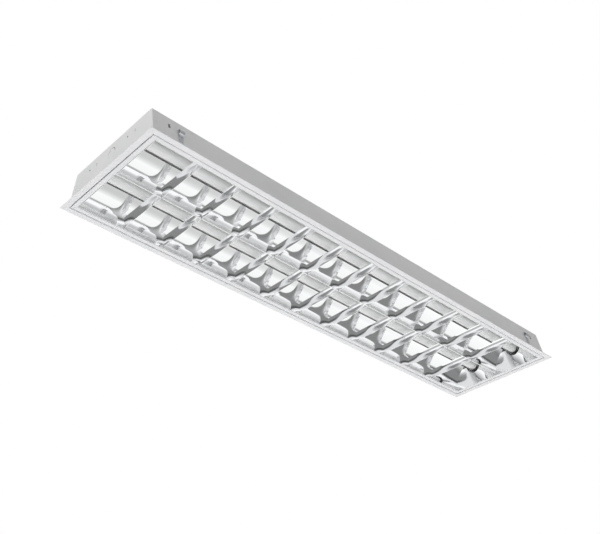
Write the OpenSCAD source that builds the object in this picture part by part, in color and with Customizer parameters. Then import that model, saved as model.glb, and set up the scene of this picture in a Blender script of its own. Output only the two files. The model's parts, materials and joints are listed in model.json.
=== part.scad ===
// Recessed troffer light for two straight tubes, with a mirror louvre.
// Millimetres. X runs along the light, Y across it, Z up.
// Zero is the middle of the underside of the ceiling flange.
// Side a is at minus Y, side b at plus Y, left is minus X and right is plus X.

/* [Module] */
// Length over the ceiling flange
module_l = 1245; // [1000:1:1500]
// Width over the ceiling flange
module_w = 310; // [290:1:340]
// Height from the flange underside to the top of the housing
housing_h = 75; // [68:1:90]

/* [Housing sheet] */
// Thickness of the folded steel sheet
sheet_t = 0.8; // [0.6:0.1:1]
// Width of the flange that lies on the ceiling bars
flange_w = 12; // [11:0.5:12.5]
// Width of the folded back hem on the flange rim
hem_w = 7; // [4:0.5:9]
// How far each long side leans in over the whole height
side_lean = 15; // [10:1:20]
// Outer radius of the bends along the top
bend_r = 2; // [1.5:0.5:4]
// Open gap along each mitred flange corner
mitre_gap = 0.15; // [0.1:0.05:0.3]

/* [Housing details] */
// Length of the end plate tabs that fold in under the top
tab_l = 14; // [8:1:20]
// Half width of the end plate's top tab
top_tab_half = 100; // [60:1:110]
// Bend radius where the walls turn into the flange
flange_bend_r = 1.2; // [0.9:0.1:1.6]
// Height where the side tabs start
side_tab_z = 20; // [18:1:26]
// Height of the side tabs
side_tab_h = 40; // [20:1:44]
// Radius of the round knockouts in the end plates
knockout_r = 11; // [8:0.5:12]
// Height of the knockouts
knockout_z = 50; // [40:1:55]
// Width of the half round slit that frees a knockout
knockout_slit = 1.4; // [1:0.1:1.6]
// Distance from the lamp axis to the holder's fixing marks
holder_fix_y = 12.4; // [11:0.1:12.6]
// Radius of the holder's fixing hole
holder_fix_r = 2; // [1.4:0.1:2.2]
// Radius of the two pressed dimples beside each holder
dimple_r = 1.2; // [0.8:0.1:1.4]
// How far the dimples stand out
dimple_h = 0.6; // [0.3:0.1:0.8]
// Distance between the two dimples of a pair
dimple_pitch = 3.8; // [2.6:0.1:4.4]
// Distance of the wall slots from the ends of the module
wall_slot_in = 49.5; // [35:0.5:60]
// Width of the wall slots
wall_slot_w = 5; // [3:0.5:6]
// Height of the wall slots
wall_slot_h = 11; // [8:1:14]
// Height of the middle of the wall slots
wall_slot_z = 50; // [40:1:55]
// Distance of the hanger holes from the ends of the module
hanger_in = 152.5; // [100:2.5:200]
// Distance of the hanger holes from the middle of the width
hanger_y = 100; // [95:1:110]
// Radius of the hanger holes
hanger_r = 3.25; // [2.5:0.25:4.5]

/* [Ceiling clips] */
// Distance of the ceiling clips from the ends of the module
clip_in = 74.5; // [64:0.5:95]
// Width of a ceiling clip
clip_w = 11; // [8:1:16]
// Thickness of the clip strip
clip_t = 1; // [0.8:0.1:1.5]
// Height where a clip starts above the flange
clip_z = 22; // [16:1:28]
// Length of the flat foot of a clip
clip_foot = 17; // [14:1:20]
// Outer radius of the bow at the top of a clip
clip_bow_r = 7; // [5:0.5:8]
// Rivet radius in the clip foot
rivet_r = 1.6; // [1.2:0.1:2]
// Rivet head radius
rivet_head_r = 3; // [2.5:0.1:3.6]
// Rivet head height
rivet_head_h = 0.9; // [0.6:0.1:1.4]
// Radius of the closed end of a rivet
rivet_tail_r = 2.4; // [2.1:0.1:2.8]
// Height of the closed end of a rivet
rivet_tail_h = 0.8; // [0.5:0.1:1.2]
// Gap between a rivet or screw and its hole
fastener_gap = 0.05; // [0.03:0.01:0.1]

/* [Louvre frame] */
// Distance from the flange rim to the outer edge of the frame
frame_out = 15; // [14.9:0.1:15.5]
// Distance from the flange rim to the inner edge of the frame
frame_in = 25; // [24:0.5:26]
// Thickness of the frame sheet
rail_t = 0.8; // [0.6:0.1:1]
// Height of the frame face above the flange underside
rail_z = 0.6; // [0.2:0.1:0.8]
// Height of the inner upstand of a rail
rail_up = 13; // [10:0.5:15]
// Height of the outer return of a rail
rail_return = 3; // [2:0.5:3.5]
// Outer radius of the bends of a rail
rail_bend_r = 1.2; // [1:0.1:1.6]

/* [Mirror louvre] */
// Thickness of the mirror sheet
mirror_t = 0.5; // [0.4:0.1:0.8]
// Height of the lower edge of the louvre
louvre_z = 5; // [4:0.5:7]
// Height of the top of the reflectors above the lamp axis
louvre_over = 3; // [2:0.5:4]
// Half width of the throat at the upper edge of the reflectors
throat_half = 26.4; // [25.4:0.1:27]
// Width of the lower edge of the centre reflector
spine_w = 1.6; // [1.2:0.1:2.4]
// How far the end reflectors lean in at the top
end_lean = 8; // [4:0.5:10]
// How far the end reflectors stop below the lamp axis
end_drop = 1; // [0.8:0.1:3]
// Radius of the lamp cut in the end reflectors
lamp_cut_r = 21; // [18:0.5:22]
// Seating gap between mirror pieces
seat_gap = 0.2; // [0.15:0.05:0.3]

/* [Cross blades] */
// Distance from the last blade to the end of the mirrors
end_cell = 106.8; // [80:0.2:140]
// Height of the blades
blade_h = 20.5; // [18:0.5:22]
// Thickness of the lower edge of a blade
blade_edge = 1; // [0.8:0.1:2]
// Radius of the hollow faces of a blade
blade_face_r = 42; // [38:1:60]
// Height of the closed fold along the lower edge of a blade
blade_fold_h = 5; // [4.5:0.5:7]
// Height of the slot where a blade passes the centre reflector
blade_slot_h = 7; // [5:0.5:9]
// Height of the tabs that seat a blade in the side reflectors
blade_tab_h = 2.6; // [1.5:0.1:3]

/* [Lamps] */
// Diameter of the lamp caps
lamp_d = 26; // [25:0.1:26]
// Diameter of the glass tube
glass_d = 25.6; // [24.5:0.1:25.6]
// Wall of the glass tube
glass_t = 0.8; // [0.6:0.1:1.2]
// Distance from the underside of the housing top to the lamp axis
lamp_drop = 19.2; // [19:0.1:20.2]
// Length of a lamp cap
cap_l = 9; // [7:0.5:12]
// Wall of a lamp cap
cap_t = 0.15; // [0.1:0.05:0.15]
// End wall of a lamp cap
cap_end_t = 1.2; // [0.8:0.1:2]
// Gap between the glass and its caps
glass_gap = 0.05; // [0.03:0.01:0.08]
// Chamfer on the end of a lamp cap
cap_edge = 0.8; // [0.4:0.1:1.2]
// Diameter of a lamp pin
pin_d = 2.4; // [2.3:0.1:2.5]
// Length of a lamp pin
pin_l = 7.1; // [6.5:0.1:7.2]
// Distance between the two pins
pin_pitch = 12.7; // [12.5:0.1:13]

/* [Lampholders] */
// Depth of a lampholder from its face to the end plate
holder_l = 9.7; // [9:0.1:12]
// Radius of the lampholder body
holder_r = 14.5; // [14:0.1:15]
// Height of the holder above the lamp axis
holder_up = 17; // [16.5:0.1:17.5]
// Half width of the upper block of a lampholder
holder_half = 13; // [12.6:0.1:14]
// Gap between holder face and lamp cap
holder_gap = 0.3; // [0.2:0.05:0.4]
// Free depth behind the lamp pins
pin_end_gap = 0.4; // [0.3:0.1:0.6]
// Radius of the holder's turning rotor
rotor_r = 9.5; // [9:0.1:10]
// Length of the rotor
rotor_l = 5; // [4.5:0.1:5.2]
// Width of the pin slot through rotor and holder
pin_slot_w = 2.7; // [2.6:0.1:3]
// Radius of the contact space behind the rotor
contact_r = 8.4; // [8:0.1:8.8]
// Running gap of turning parts
running_gap = 0.06; // [0.04:0.01:0.09]

/* [Control gear] */
// Length of the ballast case
ballast_l = 332; // [200:1:400]
// Width of the ballast case
ballast_w = 30; // [24:1:32]
// Height of the ballast case
ballast_h = 21; // [18:1:21]
// Radius of the lower edges of the ballast case
ballast_edge_r = 2; // [1:0.5:4]
// Thickness of the ballast case
case_t = 0.8; // [0.6:0.1:1]
// Length of the ballast mounting ears
ear_l = 24; // [18:1:30]
// Width of the ballast mounting ears
ear_w = 22; // [16:1:24]
// Length of the ballast connectors
connector_l = 13; // [10:1:14]
// Gap between the connectors and the ballast case
connector_gap = 0.2; // [0.1:0.05:0.3]
// Screw radius of the gear screws
gear_screw_r = 2; // [1.5:0.1:2.5]
// Radius of the gear screw heads
screw_head_r = 3.6; // [3:0.1:4]
// Height of the gear screw heads
screw_head_h = 2; // [1.5:0.1:2.5]
// Distance from the end of the ballast to the middle of the terminal block
terminal_off = 164; // [140:1:180]
// Length of the terminal block
terminal_l = 34; // [28:1:40]
// Width of the terminal block
terminal_w = 24; // [21:1:28]
// Height of the terminal block
terminal_h = 16; // [12:1:17]
// Distance from the middle of the terminal block to the cable grommet
grommet_off = 90; // [60:1:120]
// Radius of the cable hole in the housing top
grommet_hole_r = 10.5; // [9:0.5:12]
// Bore radius of the grommet
grommet_bore_r = 5; // [3:0.5:6]
// How far the lips of the grommet reach past the hole
grommet_lip = 2.5; // [1.5:0.5:4]
// Thickness of the lips of the grommet
grommet_lip_t = 1.2; // [1:0.1:2]
// Distance from the end of the ballast to the earth stud
earth_off = 104; // [60:1:114]
// Length of the earth stud below the roof
earth_l = 9; // [8:0.5:11]
// Radius of the earth nut over its corners
earth_nut_r = 4; // [3.5:0.1:4.5]
// Height of the earth nut
earth_nut_h = 3.2; // [2.5:0.1:4]
// Diameter of the internal wires
wire_d = 1.8; // [1.4:0.1:2.2]
// Distance between neighbouring wires
wire_pitch = 3.6; // [3:0.1:4]
// Height of the lamp wires above the lamp axis
wire_up = 15; // [14.5:0.1:15.5]

/* [Louvre hinge and springs] */
// Distance of the hinges and springs from the ends of the module
hinge_end = 202.5; // [150:2.5:320]
// Distance of the hinge axis from the flange rim
hinge_in = 20.5; // [20:0.1:21]
// Height of the hinge axis
hinge_z = 4; // [3.9:0.1:4.2]
// Radius of the hinge pin
hinge_pin_r = 1.2; // [1:0.1:1.3]
// Outer radius of the hinge eye
hinge_eye_r = 2.2; // [2:0.1:2.3]
// Width of the hinge strap
hinge_strap_w = 12; // [8:1:16]
// Height where the hinge strap turns to the wall
hinge_knee_z = 16; // [15:0.5:18]
// Length of the strap along the wall
hinge_leg = 10; // [8:1:14]
// Thickness of a hinge lug
lug_t = 1; // [0.8:0.1:1.5]
// Side gap between a hinge eye and its lugs
lug_gap = 0.3; // [0.2:0.05:0.5]
// Room beside a hinge strap in the notch of the rail
notch_gap = 1.5; // [1:0.1:3]
// Outer radius of a holding spring
spring_r = 6; // [5:0.2:6]
// Thickness of a holding spring
spring_t = 0.5; // [0.4:0.1:0.7]
// Width of a holding spring
spring_w = 14; // [8:1:20]
// Gap between a holding spring and the wall
spring_gap = 0.3; // [0.2:0.05:0.5]

/* [Hidden] */

$fn = 96;
// Overrun of every cut past the face that it opens
over = 1;
// One blade for each cross_blade name above
blade_count = 11;

// Long walls: slope across Y, its stretch, and the outer and inner face at a height
wall_k = side_lean / housing_h;
wall_n = sqrt(1 + wall_k * wall_k);
wall_angle = atan(wall_k);
function wall_out(z) = module_w / 2 - flange_w - wall_k * z;
function wall_in(z) = wall_out(z) - sheet_t * wall_n;
// Places along X: wall slots, hanger holes, ceiling clips, and hinges with their springs
wall_slot_x = module_l / 2 - wall_slot_in;
hanger_x = module_l / 2 - hanger_in;
clip_x = module_l / 2 - clip_in;
hinge_x = module_l / 2 - hinge_end;
// Places along X of the terminal block, cable grommet and earth stud beside the ballast
terminal_x = ballast_l / 2 + terminal_off;
grommet_x = terminal_x + grommet_off;
earth_x = ballast_l / 2 + earth_off;
// Inner and outer faces of the end plates, and the underside of the housing top
plate_out = module_l / 2 - flange_w;
plate_in = plate_out - sheet_t;
roof_z = housing_h - sheet_t;
// Height of the lamp axis, and of the top of the reflectors
lamp_z = roof_z - lamp_drop;
louvre_top = lamp_z + louvre_over;

// Frame of the louvre
rail_w = frame_in - frame_out;
rail_y_in = module_w / 2 - frame_in;
rail_x_in = module_l / 2 - frame_in;
// Mirror sheets stand just inside the frame, and their lower edges reach down beside it
mirror_y = rail_y_in - seat_gap - mirror_t;
mirror_x = rail_x_in - seat_gap - mirror_t;
leg_z = rail_z + rail_t;
leg_drop = louvre_z - leg_z;
// Each row: its middle, half its width at the lower edge, and the arc of its reflectors
row_y = (mirror_y + spine_w / 2) / 2;
row_half = (mirror_y - spine_w / 2) / 2;
reflector_h = louvre_top - louvre_z;
row_drop = row_half - throat_half;
reflector_r = (row_drop * row_drop + reflector_h * reflector_h) / (2 * row_drop);
arc_shift = row_half - reflector_r;
end_r = (end_lean * end_lean + reflector_h * reflector_h) / (2 * end_lean);
end_top = lamp_z - end_drop;

// Blades: place along X, and half the thickness at a height above the lower edge
blade_pitch = 2 * (mirror_x - end_cell) / (blade_count - 1);
function blade_x(i) = (i - (blade_count + 1) / 2) * blade_pitch;
function blade_half(h) = blade_edge / 2 + blade_face_r - sqrt(blade_face_r * blade_face_r - h * h);
blade_tab_z = louvre_z + (blade_fold_h - blade_tab_h) / 2;

// Lamps and holders
holder_x = plate_in - holder_l;
lamp_l = 2 * (holder_x - holder_gap);
pin_depth = pin_l - holder_gap + pin_end_gap;
pin_y = pin_pitch / 2;

// Hinge line of the louvre and the straps that carry it
hinge_y = module_w / 2 - hinge_in;
strap_y = hinge_y + hinge_eye_r - sheet_t;
hinge_rivet_z = hinge_knee_z + hinge_leg / 2;
lug_x = hinge_strap_w / 2 + lug_gap;

// Heights of the rivets and the places of gear fixings
clip_rivet_z = clip_z + clip_foot / 2;
tab_rivet_z = side_tab_z + side_tab_h / 2;
tab_rivet_x = plate_in - tab_l / 2;
ear_screw_share = 0.6;
ear_screw_x = ballast_l / 2 + ear_l * ear_screw_share;
terminal_screw_x = terminal_l / 2 - screw_head_r - over;
gear_screw_places = [
    [-ear_screw_x, 0, roof_z - case_t], [ear_screw_x, 0, roof_z - case_t],
    [-terminal_x - terminal_screw_x, 0, roof_z - terminal_h / 2],
    [-terminal_x + terminal_screw_x, 0, roof_z - terminal_h / 2]
];

// Wires
wire_r = wire_d / 2;
wire_z = roof_z - ballast_h / 2;
lamp_wire_z = lamp_z + wire_up;

// Turns a drawing in Y and Z into a bar along X, centred
module along_x(l) {
    translate([-l / 2, 0, 0]) rotate([90, 0, 90]) linear_extrude(l) children();
}

// Turns a drawing in X and Z into a bar along Y, centred
module along_y(l) {
    translate([0, l / 2, 0]) rotate([90, 0, 0]) linear_extrude(l) children();
}

// What is drawn for side b, or its mirror image for side a
module on_side(side) {
    if (side == "b") children();
    else mirror([0, 1, 0]) children();
}

// What is drawn for the right end, or its mirror image for the left end
module on_end(end) {
    if (end == "right") children();
    else mirror([1, 0, 0]) children();
}

// What is drawn for the right end, or the same piece turned round for the left end
module turned_to(end) {
    if (end == "right") children();
    else rotate([0, 0, 180]) children();
}

module both_sides() {
    for (side = ["a", "b"]) on_side(side) children();
}

module both_ends() {
    for (end = ["left", "right"]) on_end(end) children();
}

// A place on the outer face of wall b, with Z pointing straight out of the wall
module at_wall(x, z) {
    translate([x, wall_out(z), z]) rotate([wall_angle - 90, 0, 0]) children();
}

// A round bar or hole along X
module rod_x(r, l) {
    translate([-l / 2, 0, 0]) rotate([0, 90, 0]) cylinder(r = r, h = l);
}

// Section of the housing, in Y and Z, drawn d inside its outer face, with its foot at z0
module housing_section(d, z0) {
    r = bend_r - d;
    cz = housing_h - bend_r;
    cy = wall_out(cz) - bend_r * wall_n;
    for (s = [-1, 1]) translate([s * cy, cz]) circle(r);
    polygon([
        [-(wall_out(z0) - d * wall_n), z0],
        [-(cy + r / wall_n), cz + r * wall_k / wall_n],
        [-cy, cz + r],
        [cy, cz + r],
        [cy + r / wall_n, cz + r * wall_k / wall_n],
        [wall_out(z0) - d * wall_n, z0]
    ]);
}

// Cuts the round of a bend from a sharp corner at zero, where a wall of slope k meets the flange
module bend_cut(k) {
    n = sqrt(1 + k * k);
    r = flange_bend_r;
    c = [r * (n - k), r];
    difference() {
        polygon([[-over, -over], [c[0], 0], c, [c[0] - r / n, r - r * k / n]]);
        translate(c) circle(r);
    }
}

// Flange with its folded back hem, drawn outwards from the foot of the wall
module flange_profile() {
    rim = flange_w - sheet_t;
    square([rim, sheet_t]);
    translate([flange_w - hem_w, 0]) square([hem_w - sheet_t, 2 * sheet_t]);
    translate([rim, sheet_t]) circle(sheet_t);
}

module long_flange() {
    foot = wall_out(0);
    intersection() {
        along_x(module_l) translate([foot, 0]) flange_profile();
        linear_extrude(2 * sheet_t) polygon([
            [-plate_out, foot], [plate_out, foot],
            [module_l / 2, module_w / 2], [-module_l / 2, module_w / 2]
        ]);
    }
    along_x(2 * plate_in) translate([foot - sheet_t / 2, 0]) square(sheet_t);
}

module end_flange() {
    foot = wall_out(0) - mitre_gap;
    rim = module_w / 2 - mitre_gap;
    intersection() {
        along_y(module_w) translate([plate_out, 0]) flange_profile();
        linear_extrude(2 * sheet_t) polygon([
            [plate_out, -foot], [module_l / 2, -rim], [module_l / 2, rim], [plate_out, foot]
        ]);
    }
    along_y(2 * (foot - sheet_t)) translate([plate_out - sheet_t / 2, 0]) square(sheet_t);
}

// Hole for a wall rivet, through the clip, the wall and what lies inside it
module rivet_hole(x, z) {
    at_wall(x, z) translate([0, 0, -2 * sheet_t - over])
        cylinder(r = rivet_r + fastener_gap, h = 2 * sheet_t + clip_t + 2 * over);
}

module wall_rivet_holes() {
    both_sides() both_ends() {
        rivet_hole(clip_x, clip_rivet_z);
        rivet_hole(tab_rivet_x, tab_rivet_z);
    }
    both_ends() rivet_hole(hinge_x, hinge_rivet_z);
}

module roof_hole(x, y, r) {
    translate([x, y, roof_z - over]) cylinder(r = r, h = sheet_t + 2 * over);
}

// Folded top, long sides and their flanges
module housing_tray() {
    color("gainsboro") difference() {
        union() {
            along_x(2 * plate_in) difference() {
                housing_section(0, 0);
                housing_section(sheet_t, -over);
            }
            both_sides() long_flange();
        }
        both_sides() along_x(module_l) translate([wall_in(0), 0]) bend_cut(wall_k);
        both_ends() translate([wall_slot_x, 0, wall_slot_z])
            cube([wall_slot_w, module_w, wall_slot_h], center = true);
        both_sides() both_ends() roof_hole(hanger_x, hanger_y, hanger_r);
        roof_hole(-grommet_x, 0, grommet_hole_r);
        roof_hole(-earth_x, 0, gear_screw_r + fastener_gap);
        for (p = gear_screw_places) roof_hole(p[0], p[1], gear_screw_r + fastener_gap);
        wall_rivet_holes();
    }
}

// Half round slit that leaves a knockout disc in the sheet
module knockout_slit_cut() {
    intersection() {
        difference() {
            circle(knockout_r + knockout_slit / 2);
            circle(knockout_r - knockout_slit / 2);
        }
        translate([-2 * knockout_r, 0]) square(4 * knockout_r);
    }
}

// Upright end sheet with its flange and the tabs that fold in under the top and along the sides
module end_plate() {
    color("whitesmoke") difference() {
        union() {
            translate([(plate_in + plate_out) / 2, 0, 0]) along_x(sheet_t) housing_section(0, 0);
            end_flange();
            translate([plate_in - tab_l, -top_tab_half, roof_z - sheet_t])
                cube([tab_l + sheet_t / 2, 2 * top_tab_half, sheet_t]);
            both_sides() translate([plate_in - tab_l / 2 + sheet_t / 4, 0, 0])
                along_x(tab_l + sheet_t / 2) polygon([
                    [wall_in(side_tab_z), side_tab_z],
                    [wall_in(side_tab_z + side_tab_h), side_tab_z + side_tab_h],
                    [wall_in(side_tab_z + side_tab_h) - sheet_t * wall_n, side_tab_z + side_tab_h],
                    [wall_in(side_tab_z) - sheet_t * wall_n, side_tab_z]
                ]);
            for (s = [-1, 1]) for (d = [-1, 1])
                translate([plate_out, s * row_y + holder_fix_y, lamp_z - d * dimple_pitch / 2])
                    rotate([0, 90, 0]) cylinder(r1 = dimple_r, r2 = dimple_r / 2, h = dimple_h);
        }
        along_y(2 * wall_out(0) - 2 * flange_w) translate([plate_in, 0]) bend_cut(0);
        translate([plate_out, 0, knockout_z]) along_x(4 * sheet_t) knockout_slit_cut();
        for (s = [-1, 1]) translate([plate_out, s * row_y - holder_fix_y, lamp_z])
            rod_x(holder_fix_r, 4 * sheet_t);
        wall_rivet_holes();
    }
}

// Spring strip that carries the light on the ceiling bars until it is fixed
module ceiling_clip() {
    color("silver") difference() {
        translate([clip_x, 0, 0]) along_x(clip_w) translate([wall_out(clip_z), clip_z]) rotate(wall_angle) {
            square([clip_t, clip_foot + clip_t]);
            translate([0, clip_foot + clip_bow_r]) difference() {
                circle(clip_bow_r);
                circle(clip_bow_r - clip_t);
                translate([-2 * clip_bow_r, -clip_bow_r - over])
                    square([2 * clip_bow_r, 2 * (clip_bow_r + over)]);
            }
        }
        rivet_hole(clip_x, clip_rivet_z);
    }
}

// Rivet with Z out of the wall and zero at the wall's outer face
module rivet(above, below) {
    dome_r = (rivet_head_r * rivet_head_r + rivet_head_h * rivet_head_h) / (2 * rivet_head_h);
    translate([0, 0, -below]) cylinder(r = rivet_r, h = above + below);
    translate([0, 0, above]) intersection() {
        cylinder(r = rivet_head_r, h = rivet_head_h);
        translate([0, 0, rivet_head_h - dome_r]) sphere(dome_r);
    }
    translate([0, 0, -below - rivet_tail_h]) cylinder(r = rivet_tail_r, h = rivet_tail_h);
}

module rivets() {
    color("darkgray") {
        both_sides() both_ends() {
            at_wall(clip_x, clip_rivet_z) rivet(clip_t, sheet_t);
            at_wall(tab_rivet_x, tab_rivet_z) rivet(0, 2 * sheet_t);
        }
        both_ends() at_wall(hinge_x, hinge_rivet_z) rivet(0, 2 * sheet_t);
    }
}

// Twist lampholder, drawn on its lamp axis with zero at its face and X towards the end plate
module lampholder() {
    color("white") difference() {
        union() {
            rotate([0, 90, 0]) cylinder(r = holder_r, h = holder_l);
            translate([0, -holder_half, 0]) cube([holder_l, 2 * holder_half, holder_up]);
            translate([holder_l, -holder_fix_y, 0]) rotate([0, 90, 0])
                cylinder(r = holder_fix_r - fastener_gap, h = sheet_t);
        }
        translate([-over, 0, 0]) rotate([0, 90, 0]) {
            cylinder(r = rotor_r + running_gap, h = over + rotor_l + running_gap);
            cylinder(r = contact_r, h = over + pin_depth);
        }
        translate([-over, -pin_slot_w / 2, -holder_r - over])
            cube([over + pin_depth, pin_slot_w, holder_r + over]);
    }
}

module lampholder_at(row, end) {
    s = (row == "b") == (end == "right") ? 1 : -1;
    turned_to(end) translate([holder_x, s * row_y, lamp_z]) lampholder();
}

// Slim control gear under the housing top
module ballast_case() {
    color("lightgray") difference() {
        union() {
            along_x(ballast_l) translate([-ballast_w / 2, roof_z - ballast_h])
                trough(ballast_w, ballast_h, ballast_edge_r);
            both_ends() translate([ballast_l / 2 - case_t, -ear_w / 2, roof_z - case_t])
                cube([ear_l + case_t, ear_w, case_t]);
        }
        along_x(ballast_l + 2 * over)
            translate([-ballast_w / 2 + case_t, roof_z - ballast_h + case_t])
                trough(ballast_w - 2 * case_t, ballast_h - 2 * case_t, ballast_edge_r - case_t);
        both_ends() roof_hole(ear_screw_x, 0, gear_screw_r + fastener_gap);
    }
}

// Open section with two rounded lower corners, drawn from its lower left corner
module trough(w, h, r) {
    translate([r, 0]) square([w - 2 * r, h]);
    translate([0, r]) square([w, h - r]);
    for (y = [r, w - r]) translate([y, r]) circle(r);
}

// Push-in connector in each end of the ballast, with a hole for each wire
module ballast_connectors() {
    w = ballast_w - 2 * case_t - 2 * connector_gap;
    h = ballast_h - 2 * case_t - 2 * connector_gap;
    color("white") both_ends() difference() {
        translate([ballast_l / 2 - connector_l, -w / 2, roof_z - ballast_h + case_t + connector_gap])
            cube([connector_l, w, h]);
        for (i = [-3:3]) translate([ballast_l / 2, i * wire_pitch, wire_z])
            rod_x(wire_r + fastener_gap, connector_l);
    }
}

// Three-pole supply terminal with its wire entries and clamp screws
module terminal_block() {
    color("white") difference() {
        translate([-terminal_x - terminal_l / 2, -terminal_w / 2, roof_z - terminal_h])
            cube([terminal_l, terminal_w, terminal_h]);
        for (i = [-1, 1]) translate([-terminal_x + i * terminal_screw_x, 0, roof_z - terminal_h - over]) {
            cylinder(r = gear_screw_r + fastener_gap, h = terminal_h + 2 * over);
            cylinder(r = screw_head_r + connector_gap, h = terminal_h / 2 + over);
        }
        for (i = [-1, 1]) translate([-terminal_x, i * terminal_w / 3, wire_z]) {
            rod_x(wire_r + fastener_gap, terminal_l + 2 * over);
            translate([0, 0, -terminal_h]) cylinder(r = gear_screw_r, h = terminal_h);
        }
    }
}

// Rubber grommet round the supply cable hole
module cable_grommet() {
    neck = grommet_hole_r - fastener_gap;
    color("dimgray") translate([-grommet_x, 0, 0]) difference() {
        union() {
            translate([0, 0, roof_z - grommet_lip_t])
                cylinder(r = neck + grommet_lip, h = grommet_lip_t);
            translate([0, 0, roof_z]) cylinder(r = neck, h = sheet_t);
            translate([0, 0, housing_h]) cylinder(r = neck + grommet_lip, h = grommet_lip_t);
        }
        translate([0, 0, roof_z - grommet_lip_t - over])
            cylinder(r = grommet_bore_r, h = sheet_t + 2 * grommet_lip_t + 2 * over);
    }
}

// Pan screws that hold the ballast and the terminal block, flush with the housing top
module gear_screws() {
    color("silver") for (p = gear_screw_places) translate(p) {
        cylinder(r = gear_screw_r, h = housing_h - p[2]);
        translate([0, 0, -screw_head_h]) cylinder(r = screw_head_r, h = screw_head_h);
    }
}

// Earth stud with its washer and nut
module earth_stud() {
    color("gold") translate([-earth_x, 0, 0]) {
        translate([0, 0, roof_z - earth_l]) cylinder(r = gear_screw_r, h = earth_l + sheet_t);
        translate([0, 0, roof_z - sheet_t]) cylinder(r = earth_nut_r + sheet_t, h = sheet_t);
        translate([0, 0, roof_z - sheet_t - earth_nut_h])
            cylinder(r = earth_nut_r, h = earth_nut_h, $fn = 6);
    }
}

// Strap on wall b that ends in the eye of the hinge
module hinge_eye() {
    z1 = hinge_knee_z + sheet_t;
    top = hinge_knee_z + hinge_leg;
    wall = sheet_t * wall_n;
    difference() {
        translate([hinge_x, 0, 0]) along_x(hinge_strap_w) {
            translate([hinge_y, hinge_z]) circle(hinge_eye_r);
            translate([strap_y, hinge_z]) square([sheet_t, z1 - hinge_z]);
            polygon([
                [strap_y, hinge_knee_z], [wall_in(hinge_knee_z), hinge_knee_z],
                [wall_in(top), top], [wall_in(top) - wall, top],
                [wall_in(z1) - wall, z1], [strap_y, z1]
            ]);
        }
        translate([hinge_x, hinge_y, hinge_z]) rod_x(hinge_pin_r + running_gap, hinge_strap_w + 2 * over);
        rivet_hole(hinge_x, hinge_rivet_z);
    }
}

module hinge_eyes() {
    color("silver") both_ends() hinge_eye();
}

// Wire along X from one place to another, with its bends eased in and out
wire_rings = 18;
wire_sides = 8;
function ease(t) = t * t * (3 - 2 * t);
function wire_point(from, to, t) = [
    from[0] + (to[0] - from[0]) * t,
    from[1] + (to[1] - from[1]) * ease(t),
    from[2] + (to[2] - from[2]) * ease(t)
];

module wire(from, to) {
    ring = [for (j = [0:wire_sides - 1]) let (a = 360 * j / wire_sides) [0, wire_r * cos(a), wire_r * sin(a)]];
    points = [for (i = [0:wire_rings]) for (p = ring) wire_point(from, to, i / wire_rings) + p];
    side_faces = [for (i = [0:wire_rings - 1]) for (j = [0:wire_sides - 1])
        let (k = (j + 1) % wire_sides, a = i * wire_sides, b = a + wire_sides)
        for (f = [[a + j, b + j, b + k], [a + j, b + k, a + k]]) f];
    caps = [
        [for (j = [0:wire_sides - 1]) j],
        [for (j = [0:wire_sides - 1]) (wire_rings + 1) * wire_sides - 1 - j]
    ];
    polyhedron(points = points, faces = concat(side_faces, caps));
}

// Two wires from the ballast to each lampholder of the right end
module lamp_wires() {
    color("ivory") for (s = [-1, 1]) for (i = [0, 1])
        wire([ballast_l / 2 - connector_l / 2, s * (2 + i) * wire_pitch, wire_z],
             [holder_x, s * (row_y + (i - 0.5) * wire_pitch), lamp_wire_z]);
}

// Supply wires from the terminal block to the ballast
module supply_wires() {
    color("saddlebrown") for (i = [-1, 1])
        wire([-terminal_x + terminal_l / 4, i * terminal_w / 3, wire_z],
             [-(ballast_l - connector_l) / 2, i * wire_pitch, wire_z]);
}

// Glass tube, closed at both ends
module lamp_tube() {
    l = lamp_l - 2 * cap_end_t - 2 * glass_gap;
    color("aliceblue") difference() {
        rod_x(glass_d / 2, l);
        rod_x(glass_d / 2 - glass_t, l - 2 * glass_t);
    }
}

// Metal cap on the right end of a lamp
module lamp_cap() {
    r = lamp_d / 2;
    color("silver") translate([lamp_l / 2 - cap_l, 0, 0]) rotate([0, 90, 0]) difference() {
        union() {
            cylinder(r = r, h = cap_l - cap_edge);
            translate([0, 0, cap_l - cap_edge]) cylinder(r1 = r, r2 = r - cap_edge, h = cap_edge);
        }
        translate([0, 0, -over]) cylinder(r = r - cap_t, h = over + cap_l - cap_end_t);
    }
}

module lamp_pins() {
    color("silver") both_ends() for (s = [-1, 1])
        translate([lamp_l / 2, s * pin_y, 0]) rotate([0, 90, 0]) cylinder(r = pin_d / 2, h = pin_l);
}

// Rotor that turns with the lamp, with its slot open on one side
module lamp_rotor() {
    color("whitesmoke") translate([holder_x, 0, 0]) difference() {
        rotate([0, 90, 0]) cylinder(r = rotor_r, h = rotor_l);
        translate([rotor_l / 2, pin_y, 0]) rod_x(pin_slot_w / 2, rotor_l + 2 * over);
        translate([-over, -rotor_r - over, -pin_slot_w / 2])
            cube([rotor_l + 2 * over, rotor_r + over + pin_y, pin_slot_w]);
    }
}

module at_lamp(row) {
    translate([0, row == "b" ? row_y : -row_y, lamp_z]) children();
}

// Section of a frame rail, drawn outwards from its inner lower corner
module rail_profile() {
    difference() {
        trough(rail_w, rail_up, rail_bend_r);
        translate([rail_t, rail_t])
            trough(rail_w - 2 * rail_t, rail_up + over, rail_bend_r - rail_t);
        translate([rail_w / 2, rail_return]) square([rail_w, rail_up]);
    }
}

// Long rail with mitred ends
module frame_rail() {
    intersection() {
        along_x(module_l) translate([rail_y_in, rail_z]) rail_profile();
        linear_extrude(housing_h) polygon([
            [-rail_x_in, rail_y_in], [rail_x_in, rail_y_in],
            [rail_x_in + rail_w, rail_y_in + rail_w], [-rail_x_in - rail_w, rail_y_in + rail_w]
        ]);
    }
}

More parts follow.
